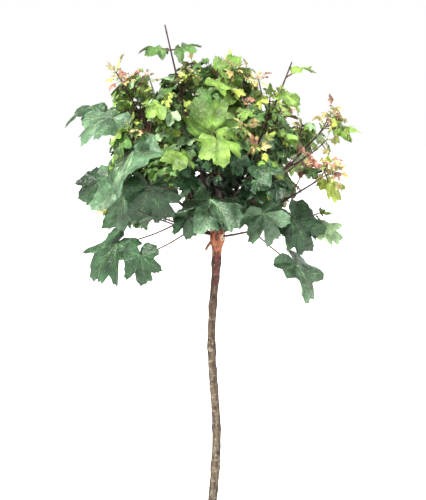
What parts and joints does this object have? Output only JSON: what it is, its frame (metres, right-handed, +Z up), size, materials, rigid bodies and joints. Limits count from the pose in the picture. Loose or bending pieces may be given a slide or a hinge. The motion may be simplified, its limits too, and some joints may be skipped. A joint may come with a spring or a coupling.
{
  "type": "grafted maple sapling",
  "caption": "Young field maple trained as a small standard: slim clear stem from a flat ground cut, a graft knob, and a rounded head of red shoots and lobed leaves.",
  "frame": {"origin": "middle of the flat ground cut under the stem, at ground level", "axes": "+Z up along the stem; +X to the right in the front view; +Y away from the viewer"},
  "size_m": [0.5938, 0.4949, 1.4163],
  "materials": {
    "bark": "rough bark",
    "shoot_bark": "smooth young bark",
    "foliage": "satin leaf"
  },
  "bodies": {
    "root": {"trunk": "bark", "bough_top_left": "shoot_bark", "foliage_top_left": "foliage", "bough_top_middle": "shoot_bark", "foliage_top_middle": "foliage", "bough_top_right": "shoot_bark", "foliage_top_right": "foliage", "bough_top_back": "shoot_bark", "foliage_top_back": "foliage", "bough_upper_left": "shoot_bark", "foliage_upper_left": "foliage", "bough_upper_front_left": "shoot_bark", "foliage_upper_front_left": "foliage", "bough_upper_front": "shoot_bark", "foliage_upper_front": "foliage", "bough_upper_front_right": "shoot_bark", "foliage_upper_front_right": "foliage", "bough_upper_right": "shoot_bark", "foliage_upper_right": "foliage", "bough_upper_back_right": "shoot_bark", "foliage_upper_back_right": "foliage", "bough_upper_back_left": "shoot_bark", "foliage_upper_back_left": "foliage", "bough_middle_left": "shoot_bark", "foliage_middle_left": "foliage", "bough_middle_front_left": "shoot_bark", "foliage_middle_front_left": "foliage", "bough_middle_front_right": "shoot_bark", "foliage_middle_front_right": "foliage", "bough_middle_right": "shoot_bark", "foliage_middle_right": "foliage", "bough_low_front": "shoot_bark", "foliage_low_front": "foliage", "bough_low_front_left": "shoot_bark", "foliage_low_front_left": "foliage", "bough_low_left": "shoot_bark", "foliage_low_left": "foliage", "bough_low_front_right": "shoot_bark", "foliage_low_front_right": "foliage", "bough_low_right": "shoot_bark", "foliage_low_right": "foliage", "bough_low_back_right": "shoot_bark", "foliage_low_back_right": "foliage", "bough_low_back": "shoot_bark", "foliage_low_back": "foliage", "bough_low_back_left": "shoot_bark", "foliage_low_back_left": "foliage"}
  },
  "joints": []
}
